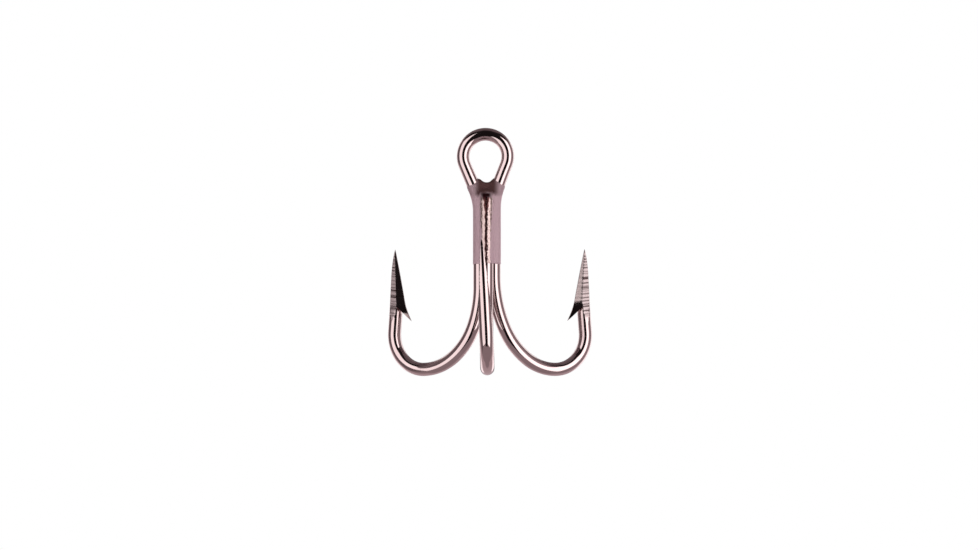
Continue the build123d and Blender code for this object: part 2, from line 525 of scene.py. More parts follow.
class Route:
    """A smooth flat path of straight lines and arcs, in millimetres."""
    longest_turn = radians(30)  # of the curve between two knots

    def __init__(self, start: tuple[float, float], heading: float) -> None:
        """Starts the route at a point, across and up, with a heading in degrees from across."""
        self.end, self.heading = Vector(start), radians(heading)
        self.stretches: list[Stretch] = []

    def line(self, length: float) -> "Route":
        """Goes straight on for a length."""
        return self._go(length, 0.0)

    def arc(self, radius: float, turn: float) -> "Route":
        """Follows an arc: a positive turn, in degrees, goes to the left."""
        return self._go(radius * radians(abs(turn)), copysign(1 / radius, turn))

    def _go(self, length: float, curvature: float) -> "Route":
        """Adds a stretch at the route's end.

        Args:
            length: how long the stretch is.
            curvature: one over its radius, positive to the left.

        Returns:
            The route.
        """
        self.stretches.append(Stretch(self.end, self.heading, length, curvature))
        self.end, self.heading = self.stretches[-1].at(length)
        return self

    def knots(self, place: Callable[[Vector], Vector], short: float = 0.0) -> list[Knot]:
        """The route as the knots of a curve in space.

        Args:
            place: puts a flat point in its place in space.
            short: how much of the last stretch is left out.

        Returns:
            The knots in order.
        """
        stops: list[tuple[Vector, float, float]] = []
        for stretch in self.stretches:
            length = stretch.length - (short if stretch is self.stretches[-1] else 0.0)
            count = max(1, ceil(abs(stretch.curvature) * length / self.longest_turn))
            step = length / count
            turn = abs(stretch.curvature) * step
            handle = step / 3 if turn == 0 else 4 / 3 * tan(turn / 4) / abs(stretch.curvature)
            for i in range(count + 1):
                point, heading = stretch.at(i * step)
                stops.append((point, heading, handle))
        knots = []
        for (point, heading, back), (_, _, ahead), first in self._pairs(stops):
            way = Vector((cos(heading), sin(heading)))
            knots.append(Knot(place(point - way * back), place(point), place(point + way * ahead)))
        return knots

    @staticmethod
    def _pairs(stops: list[tuple[Vector, float, float]]) -> list[tuple]:
        """Merges the stops that end one stretch and begin the next.

        Args:
            stops: each as a point, a heading and the length of a handle.

        Returns:
            Each stop that is left, the one after it, and whether the two were merged.
        """
        merged, skip = [], False
        for here, after in zip(stops, stops[1:] + stops[-1:]):
            if skip:
                skip = False
                continue
            skip = after is not here and (after[0] - here[0]).length < 1e-6
            merged.append((here, after, skip))
        return merged


@dataclass(frozen=True)
class HookPlane:
    """The upright plane of one hook. It holds the treble's axis, unless the hook is twisted."""

    shank_azimuth: float  # where the shank stands about the treble's axis
    twist: float = 0.0  # degrees that the hook is turned about its own shank
    sway: float = 0.0  # how far the leg leans out of the plane, for each mm above the bend
    sway_reach: tuple[float, float] = (5.0, 11.0)  # how far out the lean sets in

    @property
    def out(self) -> Vector:
        """The way the hook points."""
        azimuth = radians(self.shank_azimuth + self.twist)
        return Vector((cos(azimuth), sin(azimuth), 0))

    @property
    def shank(self) -> Vector:
        """The middle of the shank, at the height of the eye's centre."""
        azimuth = radians(self.shank_azimuth)
        return Vector((0, WIRE.axis_y, 0)) + Vector((cos(azimuth), sin(azimuth), 0)) * WIRE.shank_offset

    @property
    def across(self) -> Vector:
        """The way through the plane."""
        return self.out.cross(Vector((0, 0, 1)))

    def place(self, flat: Vector, width: float = 0.0) -> Vector:
        """Puts a flat point, out and up, in its place in space, in metres.

        Args:
            flat: the point, out and up.
            width: how far beside the plane it lies.

        Returns:
            The point in space.
        """
        share = smoothstep(self.sway_reach[0], self.sway_reach[1], flat.x)
        width += self.sway * share * (flat.y + HEIGHTS.bend_drop)
        spot = self.shank + self.out * (flat.x - WIRE.shank_offset) + self.across * width
        return (spot + Vector((0, 0, flat.y))) * MM


def hook_plane(side: Side) -> HookPlane:
    """The plane of one hook. The single hook stands a little twisted, and its leg leans out of its plane."""
    return HookPlane(side.value, FRONT_TWIST, FRONT_SWAY) if side is Side.FRONT else HookPlane(side.value)


def eye_plane(flat: Vector) -> Vector:
    """Puts a flat point, across and up, in the eye's plane, in metres."""
    return Vector((flat.x - EYE.lean * smoothstep(*EYE.lean_heights, flat.y), 0, flat.y)) * MM


def reversed_knots(knots: list[Knot]) -> list[Knot]:
    """The same knots for the route run the other way."""
    return [Knot(knot.after, knot.point, knot.before) for knot in reversed(knots)]


def joined_knots(*runs: list[Knot]) -> list[Knot]:
    """Runs of knots that follow each other, with each shared knot made one.

    Args:
        runs: the runs in order.

    Returns:
        All the knots.
    """
    knots = list(runs[0])
    for run in runs[1:]:
        knots[-1] = Knot(knots[-1].before, run[0].point, run[0].after)
        knots += run[1:]
    return knots


# ------------------------------------------------------------------------------
# The wires


class WireSweep:
    """Sweeps round wire along a curve, and keeps where each point is along and round it."""

    ring_spacing = 0.14  # mm
    sides = 48
    eye_span = (-5.0, -1.5)  # mm, the heights between which the wire gets thinner towards the eye

    def __init__(self, finish: bpy.types.Material) -> None:
        """Keeps the finish that the wire gets."""
        self.finish = finish

    def shape(self, add: AddNode, given: bpy.types.NodeOutputs) -> Socket:
        """Adds the nodes that sweep a circle along the curve.

        Args:
            add: adds a node.
            given: the group's inputs.

        Returns:
            The bare wire.
        """
        rings = add("GeometryNodeResampleCurve",
                    {"Curve": given["Geometry"], "Length": given["Ring Spacing"]}, mode="LENGTH")
        travelled = add("GeometryNodeSplineParameter", output="Length")
        marked = add(STORE, {"Geometry": rings, "Name": "along", "Value": travelled}, data_type="FLOAT",
                     domain="POINT")
        spot = add("GeometryNodeInputPosition")
        _, _, height = add(SPLIT, (spot,)).node.outputs
        thinner = add(MATH, (1.0, given["Eye Thinning"]), operation="SUBTRACT")
        low, high = self.eye_span
        scale = add(RANGE, (height, low * MM, high * MM, 1.0, thinner), interpolation_type="SMOOTHSTEP")
        section = add("GeometryNodeCurvePrimitiveCircle",
                      {"Resolution": given["Sides"], "Radius": given["Wire Radius"]})
        ringed = add(STORE, {"Geometry": section, "Name": "ring", "Value": spot}, data_type="FLOAT_VECTOR",
                     domain="POINT")
        return add("GeometryNodeCurveToMesh", {"Curve": marked, "Profile Curve": ringed, "Scale": scale})

    def mesh(self, name: str, knots: list[Knot]) -> bpy.types.Mesh:
        """Sweeps the wire.

        Args:
            name: the new mesh's name.
            knots: the knots of the wire's centreline, in space.

        Returns:
            The wire as a plain mesh, open at both ends.
        """
        curve = bpy.data.curves.new(name, "CURVE")
        curve.dimensions, curve.twist_mode, curve.resolution_u = "3D", "MINIMUM", 64
        spline = curve.splines.new("BEZIER")
        spline.bezier_points.add(len(knots) - 1)
        for bezier, knot in zip(spline.bezier_points, knots):
            bezier.handle_left_type = bezier.handle_right_type = "FREE"
            bezier.co, bezier.handle_left, bezier.handle_right = knot.point, knot.before, knot.after
        settings = {"Wire Radius": WIRE.radius * MM, "Ring Spacing": self.ring_spacing * MM,
                    "Sides": self.sides, "Eye Thinning": WIRE.eye_thinning}
        return grown_mesh(new_object(name, curve), "wire_sweep", self.shape, settings, self.finish)


def grown_mesh(holder: bpy.types.Object, name: str, shape: Callable[[AddNode, bpy.types.NodeOutputs], Socket],
               settings: dict[str, Union[float, int]], finish: bpy.types.Material) -> bpy.types.Mesh:
    """Builds a geometry node group, runs it on an object and takes the result as a plain mesh.

    Args:
        holder: the object that the group works on, which is removed afterwards.
        name: the group's name.
        shape: adds the nodes between the group's inputs and the bare shape.
        settings: a value for each named input.
        finish: the material that the shape gets.

    Returns:
        The result, smooth and dressed.
    """
    values = {**settings, "Finish": finish}
    kinds = {float: "NodeSocketFloat", int: "NodeSocketInt"}
    tree = bpy.data.node_groups.new(name, "GeometryNodeTree")
    tree.interface.new_socket("Geometry", in_out="INPUT", socket_type="NodeSocketGeometry")
    sockets = {key: tree.interface.new_socket(key, in_out="INPUT",
                                              socket_type=kinds.get(type(value), "NodeSocketMaterial"))
               for key, value in values.items()}
    tree.interface.new_socket("Geometry", in_out="OUTPUT", socket_type="NodeSocketGeometry")
    add = partial(add_node, tree)
    given = tree.nodes.new("NodeGroupInput").outputs
    smooth = add("GeometryNodeSetShadeSmooth", {"Geometry": shape(add, given)})
    real = add("GeometryNodeRealizeInstances", {"Geometry": smooth})
    dressed = add("GeometryNodeSetMaterial", {"Geometry": real, "Material": given["Finish"]})
    add("NodeGroupOutput", {"Geometry": dressed})
    modifier = holder.modifiers.new(name, "NODES")
    modifier.node_group = tree
    for key, value in values.items():
        modifier[sockets[key].identifier] = value
    bpy.context.view_layer.update()
    graph = bpy.context.evaluated_depsgraph_get()
    mesh = bpy.data.meshes.new_from_object(holder.evaluated_get(graph), preserve_all_data_layers=True,
                                           depsgraph=graph)
    holder.modifiers.remove(modifier)
    bpy.data.objects.remove(holder)
    return mesh


class Spear:
    """The ground and barbed point of one hook, built as rings of vertices across its leg."""

    ring_spacing = 0.045  # mm, close enough to carry the grinding grooves
    bevel_steps, flat_steps, back_steps = 6, 5, 11
    flank_points = 15
    groove_start = 0.9  # mm, the first groove's drop from the point
    groove_stop = 1.2  # mm, how far above the grinding's foot the grooves stop
    groove_gap = (0.16, 0.52)  # mm between grooves
    groove_depth = (0.005, 0.015)  # mm
    groove_width = 0.08  # mm
    bevel_coarseness = 0.3  # how coarse the bevels' grinding is beside the flats'
    barb_shade = 0.8  # how much painted shade, in the grooves' tone, lies on the barb
    groove_slant = 0.06  # how much a groove falls across the flat
    groove_darkening = 1.3  # how soon a groove's painted shade is full
    bevel_groove_share = 0.35  # how deep the grooves run on the bevels beside the flats
    barb_bow = 0.34  # mm, how hollow the barb's underside is

    def __init__(self, side: Side, leg: Stretch) -> None:
        """Sets the spear on its leg.

        Args:
            side: which hook it is.
            leg: the last stretch of the hook's route, which ends at the point.
        """
        self.plane, self.leg = hook_plane(side), leg
        self.bevel_slope = tan(radians(SPEAR.bevel_angles[side]))
        draw = Random(list(Side).index(side) + 11)
        self.grooves: list[tuple[float, float]] = []
        drop = self.groove_start
        while drop < SPEAR.grind_foot_drop - self.groove_stop:
            self.grooves.append((drop, draw.uniform(*self.groove_depth)))
            drop += draw.uniform(*self.groove_gap)

    # The section's main lines, each as a reach or a half width at a drop.

    def inner(self, drop: float) -> float:
        """The reach of the inner edge: straight to the throat, then hollow out to the barb's tip.

        Args:
            drop: down the leg from the point.

        Returns:
            The reach.
        """
        if drop <= SPEAR.throat_drop:
            return SPEAR.point_reach + (SPEAR.throat_reach - SPEAR.point_reach) * drop / SPEAR.throat_drop
        share = (drop - SPEAR.throat_drop) / (SPEAR.barb_drop - SPEAR.throat_drop)
        straight = SPEAR.throat_reach + (SPEAR.barb_reach - SPEAR.throat_reach) * share
        return straight + SPEAR.flare_hollow * 4 * share * (1 - share)

    def outer(self, drop: float) -> float:
        """The reach of the back, which rounds over towards the point."""
        short = max(0.0, 1 - drop / SPEAR.back_taper_drop)
        return WIRE.radius - (WIRE.radius - SPEAR.point_reach) * short ** 2

    def ridge(self, drop: float) -> float:
        """The reach of the ridge between the inner bevel and the side flat, which runs into the notch.

        Args:
            drop: down the leg from the point.

        Returns:
            The reach.
        """
        rise = self.flat(drop) - SPEAR.inner_edge_half_width
        reach = min(self.inner(drop) + rise / self.bevel_slope, (self.inner(drop) + self.outer(drop)) / 2)
        towards = smoothstep(SPEAR.throat_drop + 0.3, SPEAR.notch_drop, drop)
        return reach + (SPEAR.notch_reach - reach) * towards

    def flat(self, drop: float) -> float:
        """Half the width between the two side flats."""
        return SPEAR.flat_at_point + SPEAR.flat_growth * drop - SPEAR.flat_easing * drop ** 2

    def flat_level(self, drop: float) -> float:
        """Half the width that the tilted side flats would have on the leg's centreline."""
        return self.flat(drop) + SPEAR.flat_tilt * self.ridge(min(drop, SPEAR.notch_drop))

    def stock(self, drop: float, reach: float) -> float:
        """Half the width of the round wire that the flats are ground from."""
        reach = max(reach - (self.outer(drop) - WIRE.radius), SPEAR.notch_reach)
        return sqrt(max(0.0, WIRE.radius ** 2 - reach ** 2))

    def needle(self, drop: float) -> float:
        """How much of its width the section has near the very tip."""
        return sqrt(min(1.0, max(0.0, drop) / SPEAR.needle_length))

    def groove(self, drop: float, reach: float) -> float:
        """The depth of the grinding grooves at a spot on a flat.

        Args:
            drop: down the leg from the point.
            reach: outwards from its centreline.

        Returns:
            The depth in millimetres.
        """
        drop += self.groove_slant * reach
        return sum(depth * exp(-((drop - middle) / self.groove_width) ** 2) for middle, depth in self.grooves
                   if abs(drop - middle) < 4 * self.groove_width)

    # The rings. A half ring runs from the inner edge over the bevel, the flat and the back to the middle.

    def bevel_half(self, drop: float) -> list[tuple[float, float]]:
        """The inner edge and the bevel, without the ridge.

        Args:
            drop: the drop of the ring.

        Returns:
            Its points, each as a reach and a half width.
        """
        edge = min(SPEAR.inner_edge_half_width, self.flat(drop))
        start = (self.inner(drop), edge * self.needle(drop))
        end = (self.ridge(drop), min(self.flat(drop), self.stock(drop, self.ridge(drop))) * self.needle(drop))
        shares = [i / self.bevel_steps for i in range(self.bevel_steps)]
        return [(start[0] + (end[0] - start[0]) * s, start[1] + (end[1] - start[1]) * s) for s in shares]

    def back_half(self, drop: float) -> list[tuple[float, float]]:
        """The ridge, the side flat and the round back, down to the outermost point.

        Args:
            drop: the drop of the ring.

        Returns:
            Its points, each as a reach and a half width.
        """
        shift = self.outer(drop) - WIRE.radius
        ridge, level = self.ridge(drop), self.flat_level(drop)
        square, half = 1 + SPEAR.flat_tilt ** 2, shift + level * SPEAR.flat_tilt
        rest = shift ** 2 + level ** 2 - WIRE.radius ** 2
        junction = (half + sqrt(max(0.0, half ** 2 - square * rest))) / square
        edge_turn = atan2(level - SPEAR.flat_tilt * junction, junction - shift)
        points = []
        for i in range(self.flat_steps):
            reach = ridge + (junction - ridge) * i / self.flat_steps
            points.append((reach, min(level - SPEAR.flat_tilt * reach, self.stock(drop, reach))))
        for i in range(self.back_steps + 1):
            turn = edge_turn * (1 - i / self.back_steps)
            points.append((shift + WIRE.radius * cos(turn), WIRE.radius * sin(turn)))
        return [(reach, width * self.needle(drop)) for reach, width in points]

    def leg_half(self, drop: float) -> list[tuple[float, float]]:
        """The same half of the wire below the notch, where it turns round again.

        Args:
            drop: the drop of the ring.

        Returns:
            Its points, each as a reach and a half width.
        """
        even = smoothstep(SPEAR.notch_drop, SPEAR.notch_drop + 1.2, drop)
        seen = [atan2(width, reach) for reach, width in self.back_half(min(drop, SPEAR.notch_drop))]
        top = atan2(sqrt(WIRE.radius ** 2 - SPEAR.notch_reach ** 2), SPEAR.notch_reach)
        count = self.flat_steps + self.back_steps
        return [self.leg_spot(drop, turn + (top * (1 - i / count) - turn) * even)
                for i, turn in enumerate(seen)]

    def leg_spot(self, drop: float, turn: float) -> tuple[float, float]:
        """The surface of the leg below the notch, at a turn from straight out.

        Args:
            drop: the drop of the ring.
            turn: the turn in radians.

        Returns:
            The reach and the width.
        """
        far = WIRE.radius
        facing = abs(sin(turn)) + SPEAR.flat_tilt * cos(turn)
        if facing > 1e-6:
            far = min(far, self.flat_level(drop) / facing)
        flank = SPEAR.notch_reach - (WIRE.radius + SPEAR.notch_reach) * (
            (drop - SPEAR.notch_drop) / SPEAR.notch_length)
        if cos(turn) < -1e-6:
            far = min(far, flank / cos(turn))
        return far * cos(turn), far * sin(turn)

    def flank(self, drop: float) -> list[tuple[float, float]]:
        """The points of the notch's flank, from the +side to the -side.

        Args:
            drop: the drop of the ring.

        Returns:
            Its points, each as a reach and a width.
        """
        top = atan2(sqrt(WIRE.radius ** 2 - SPEAR.notch_reach ** 2), SPEAR.notch_reach)
        gap = (2 * pi - 2 * top) / (self.flank_points + 1)
        return [self.leg_spot(drop, top + gap * (i + 1)) for i in range(self.flank_points)]

    def barb_half(self, drop: float) -> list[tuple[float, float]]:
        """The inner edge and bevel of the barb, and the corner of its underside.

        Args:
            drop: the drop of the ring.

        Returns:
            Its points, each as a reach and a half width.
        """
        share = (drop - SPEAR.notch_drop) / (SPEAR.barb_drop - SPEAR.notch_drop)
        bow = self.barb_bow * share * (1 - share)
        under = SPEAR.notch_reach + (SPEAR.barb_reach - SPEAR.notch_reach) * share + bow
        start = self.bevel_half(SPEAR.notch_drop)[0][1]
        root = self.back_half(SPEAR.notch_drop)[0][1]
        tip = SPEAR.barb_half_width * (1 - share) ** 0.5
        edge = start + (tip - start) * share
        wide = (root - edge) * (1 - share) ** 1.3 + edge
        ends = (self.inner(drop), edge), (under, wide)
        return [(ends[0][0] + (ends[1][0] - ends[0][0]) * i / self.bevel_steps,
                 ends[0][1] + (ends[1][1] - ends[0][1]) * i / self.bevel_steps)
                for i in range(self.bevel_steps + 1)]

    def spot(self, drop: float, reach: float, width: float) -> Vector:
        """Puts a point of the spear in its place in space.

        Args:
            drop: down the leg.
            reach: outwards from it.
            width: across it.

        Returns:
            The point in metres.
        """
        centre, heading = self.leg.at(self.leg.length - drop)
        out = Vector((sin(heading), -cos(heading)))
        return self.plane.place(centre + out * reach, width)

    def ground(self, drop: float, point: tuple[float, float], share: float) -> tuple[float, float]:
        """Sinks a point of a half ring into the grooves by a share of their depth."""
        reach, width = point
        return reach, max(0.0, width - share * self.groove(drop, reach))

    def upper_rings(self) -> list[list[tuple[float, float, float]]]:
        """The closed rings from the tip to the notch, as drop, reach and width.

        Returns:
            The rings from the tip down.
        """
        count = ceil(SPEAR.notch_drop / self.ring_spacing)
        rings = []
        for i in range(count + 1):
            drop = SPEAR.notch_drop * (i / count) ** 1.15
            bevel = [self.ground(drop, p, self.bevel_groove_share) for p in self.bevel_half(drop)]
            back = self.back_half(drop)
            back = [self.ground(drop, p, 1.0 if n <= self.flat_steps + 2 else 0.0)
                    for n, p in enumerate(back)]
            rings.append([(drop, r, w) for r, w in bevel + back]
                         + [(drop, r, -w) for r, w in reversed(bevel + back[:-1])])
        return rings

    def build(self, mesh: bmesh.types.BMesh, rim: Ring) -> None:
        """Adds the spear to the mesh of its wire.

        Args:
            mesh: the wire's mesh.
            rim: the open ring of the wire's end, in order.
        """
        ring_layer = mesh.verts.layers.float_vector["ring"]
        along_layer = mesh.verts.layers.float["along"]
        groove_layer = mesh.verts.layers.float["groove"]
        ground_layer = mesh.verts.layers.float["ground"]
        start = rim[0][along_layer]

        def vertex(drop: float, reach: float, width: float) -> bmesh.types.BMVert:
            """Makes one vertex with its place along and round the wire.

            Args:
                drop: down the leg.
                reach: outwards from it.
                width: across it.

            Returns:
                The vertex.
            """
            made = mesh.verts.new(self.spot(drop, reach, width))
            made[ring_layer] = Vector((reach, width, 0)) * MM
            made[along_layer] = start + (SPEAR.grind_foot_drop - drop) * MM
            depth = min(1.0, self.groove_darkening * self.groove(drop, reach) / self.groove_depth[1])
            level = self.flat_level(drop) - SPEAR.flat_tilt * reach
            on_flat = abs(width) / level / max(0.3, self.needle(drop))
            fade = smoothstep(SPEAR.barb_drop - 1, SPEAR.grind_foot_drop - 0.5, drop)
            barb = smoothstep(0.85, 2.2, -reach)
            flat = smoothstep(0.85, 0.97, on_flat) * (1 - fade)
            bevel = 1.0 if drop < SPEAR.notch_drop and reach < self.ridge(drop) else 0.0
            # painted shade: darker with the grooves' depth on the flats, and on the barb
            made[groove_layer] = max(depth * flat, barb * self.barb_shade)
            made[ground_layer] = max(flat, bevel * self.bevel_coarseness)
            return made

        def skin(upper: Ring, lower: Ring) -> None:
            """Joins two closed rings of the same size with faces.

            Args:
                upper: the ring nearer the point.
                lower: the other one.
            """
            for i, corner in enumerate(upper):
                face = mesh.faces.new((corner, upper[i - 1], lower[i - 1], lower[i]))
                face.smooth, face.material_index = True, 1

        rings = [[vertex(*p) for p in ring] for ring in self.upper_rings()]
        for upper, lower in zip(rings, rings[1:]):
            skin(upper, lower)
        notch = rings[-1]
        bevels = self.bevel_steps
        size = len(notch)
        apex = [vertex(SPEAR.notch_drop, r, w) for r, w in self.flank(SPEAR.notch_drop)]

        # The barb: the ring's bevel vertices, closed along its underside.
        above = notch[:bevels + 1] + apex + notch[size - bevels - 1:]
        count = ceil((SPEAR.barb_drop - SPEAR.notch_drop) / (2 * self.ring_spacing))
        for i in range(1, count + 1):
            drop = SPEAR.notch_drop + (SPEAR.barb_drop - SPEAR.notch_drop) * i / count
            half = self.barb_half(drop)
            under, wide = half[-1]
            step = 2 * wide / (self.flank_points + 1)
            points = half + [(under, wide - step * (k + 1)) for k in range(self.flank_points)]
            points += [(r, -w) for r, w in reversed(half)]
            below = [vertex(drop, r, w) for r, w in points]
            skin(above, below)
            above = below

        # The leg below the notch, down to the wire's open end.
        above = list(reversed(apex)) + notch[bevels:size - bevels]
        count = ceil((SPEAR.grind_foot_drop - SPEAR.notch_drop) / (2 * self.ring_spacing))
        for i in range(1, count):
            drop = SPEAR.notch_drop + (SPEAR.grind_foot_drop - SPEAR.notch_drop) * i / count
            half = self.leg_half(drop)
            fade = 1 - smoothstep(SPEAR.notch_drop, SPEAR.grind_foot_drop - 0.6, drop)
            half = [self.ground(drop, p, fade if n <= self.flat_steps + 2 else 0.0)
                    for n, p in enumerate(half)]
            points = list(reversed(self.flank(drop))) + half + [(r, -w) for r, w in reversed(half[:-1])]
            below = [vertex(drop, r, w) for r, w in points]
            skin(above, below)
            above = below
        skin(above, matched_rim(above, rim))
        bmesh.ops.remove_doubles(mesh, verts=rings[0], dist=1e-7)


def matched_rim(ring: Ring, rim: Ring) -> Ring:
    """Turns the open ring of a wire's end so that it lies best against another ring of the same size.

    Args:
        ring: the ring that the rim will be joined to.
        rim: the wire's open ring, in order.

    Returns:
        The rim in the best order.
    """
    choices = []
    for order in (rim, rim[::-1]):
        for turn in range(len(order)):
            turned = order[turn:] + order[:turn]
            apart = sum((a.co - b.co).length for a, b in zip(ring[::6], turned[::6]))
            choices.append((apart, len(choices), turned))
    return min(choices)[2]


def open_rims(mesh: bmesh.types.BMesh) -> list[Ring]:
    """The open rings of a wire, each in order round it.

    Args:
        mesh: the wire's mesh.

    Returns:
        Each ring as its vertices.
    """
    border = {edge for edge in mesh.edges if edge.is_boundary}
    rims = []
    while border:
        edge = border.pop()
        rim = [edge.verts[0], edge.verts[1]]
        while True:
            following = next((e for e in rim[-1].link_edges if e in border), None)
            if following is None:
                break
            border.discard(following)
            rim.append(following.other_vert(rim[-1]))
        rims.append(rim[:-1] if rim[0] is rim[-1] else rim)
    return rims


class Hook:
    """One hook's route, from a height on its shank down round the bend and up to its point."""

    def __init__(self, side: Side, top_drop: float) -> None:
        """Lays the route.

        Args:
            side: which hook it is.
            top_drop: the drop at which the route starts on the shank.
        """
        self.side, bend = side, BENDS[side]
        straight = HEIGHTS.bend_drop - bend.drop - top_drop
        self.route = Route((WIRE.shank_offset, -top_drop), -90.0).line(straight)
        for radius, turn in zip(bend.radii, bend.turns):
            self.route.arc(radius, turn)
        self.route.arc(bend.leg_radius, 90 + bend.leg_lean)
        relief = bend.leg_lean - bend.point_lean
        height = HEIGHTS.point_rise - HEIGHTS.bend_drop - self.route.end.y
        lean = radians((bend.leg_lean + bend.point_lean) / 2)
        self.route.arc(height / cos(lean) / (2 * sin(radians(relief / 2))), -relief)

    def knots(self) -> list[Knot]:
        """The knots of the round wire, which stops where the spear's rings take over."""
        return self.route.knots(hook_plane(self.side).place, SPEAR.grind_foot_drop)

    def spear(self) -> Spear:
        """The spear on this hook's leg."""
        return Spear(self.side, self.route.stretches[-1])


class PlatedWire:
    """A bent wire with its spears, as one closed mesh."""

    dome_rings = 9
    dome_height = 0.5  # mm, how far the cropped end of the single hook's wire stands up
    ridge_angle = radians(17)

    def __init__(self, name: str, node: str, hooks: list[Hook]) -> None:
        """Names the wire.

        Args:
            name: the piece's name.
            node: the CAD node that it stands for.
            hooks: the hooks at its ends.
        """
        self.name, self.node, self.hooks = name, node, hooks

    def knots(self) -> list[Knot]:
        """The knots of the whole wire. A single hook's wire is its one hook."""
        return self.hooks[0].knots()

    def build(self, plating: bpy.types.Material, ground: bpy.types.Material) -> bpy.types.Object:
        """Builds and dresses the wire.

        Args:
            plating: the finish of the round wire.
            ground: the finish of the ground flats.

        Returns:
            The finished piece.
        """
        mesh = WireSweep(plating).mesh(self.name, self.knots())
        mesh.materials.clear()
        mesh.materials.append(plating)
        mesh.materials.append(ground)
        work = bmesh.new()
        work.from_mesh(mesh)
        work.verts.layers.float.new("groove")
        work.verts.layers.float.new("ground")
        spears = [hook.spear() for hook in self.hooks]
        for rim in open_rims(work):
            middle = sum((v.co for v in rim), Vector()) / len(rim)
            near = min(spears, key=lambda spear: (spear.spot(SPEAR.grind_foot_drop, 0, 0) - middle).length)
            if (near.spot(SPEAR.grind_foot_drop, 0, 0) - middle).length < WIRE.radius * MM:
                near.build(work, rim)
            else:
                self.dome(work, rim, middle)
        bmesh.ops.remove_doubles(work, verts=work.verts, dist=1e-8)
        bmesh.ops.dissolve_degenerate(work, edges=work.edges, dist=1e-8)
        bmesh.ops.recalc_face_normals(work, faces=work.faces)
        for edge in work.edges:
            turned = len(edge.link_faces) == 2 and edge.calc_face_angle(0.0) > self.ridge_angle
            edge.smooth = not (turned and all(face.material_index == 1 for face in edge.link_faces))
        work.to_mesh(mesh)
        work.free()
        piece = new_object(self.name, mesh)
        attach(piece, "root")
        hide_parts(self.node)
        return piece

    def dome(self, mesh: bmesh.types.BMesh, rim: Ring, middle: Vector) -> None:
        """Rounds off the cropped end of a wire that the braze covers.

        Args:
            mesh: the wire's mesh.
            rim: the open ring of the wire's end, in order.
            middle: the ring's middle.
        """
        ring_layer, along_layer = mesh.verts.layers.float_vector["ring"], mesh.verts.layers.float["along"]
        below = rim
        for i in range(1, self.dome_rings + 1):
            turn = i / self.dome_rings * pi / 2
            rise = Vector((0, 0, self.dome_height * MM * sin(turn)))
            above = []
            for vertex in rim:
                made = mesh.verts.new(middle + (vertex.co - middle) * cos(turn) + rise)
                made[ring_layer], made[along_layer] = vertex[ring_layer], vertex[along_layer] - rise.z
                above.append(made)
            for k in range(len(rim)):
                face = mesh.faces.new((below[k - 1], below[k], above[k], above[k - 1]))
                face.smooth = True
            below = above


class DoubleHookWire(PlatedWire):
    """The wire of the double hook: one leg, its shank, the eye, and the other shank and leg."""

    def knots(self) -> list[Knot]:
        """The knots of the whole wire, from one spear to the other."""
        left, right = (hook.knots() for hook in self.hooks)
        return joined_knots(reversed_knots(left), self.eye_route().knots(eye_plane), right)

    @staticmethod
    def eye_route() -> Route:
        """The eye: up one shank, out along a side, over the round top, and the same down again.

        Returns:
            The route, which ends at the height it starts from.
        """
        taper, half_pitch = radians(EYE.taper), WIRE.pitch / 2
        tangent = EYE.neck_radius * tan(taper / 2)
        corner = EYE.side_drop(half_pitch)
        side = (corner - EYE.radius * sin(taper)) / cos(taper) - tangent
        shank = BRAZE_FOOT_DROP - corner - tangent
        return (Route((-half_pitch, -BRAZE_FOOT_DROP), 90.0).line(shank).arc(EYE.neck_radius, EYE.taper)
                .line(side).arc(EYE.radius, -180 - 2 * EYE.taper).line(side)
                .arc(EYE.neck_radius, EYE.taper).line(shank))


# ------------------------------------------------------------------------------
# The braze


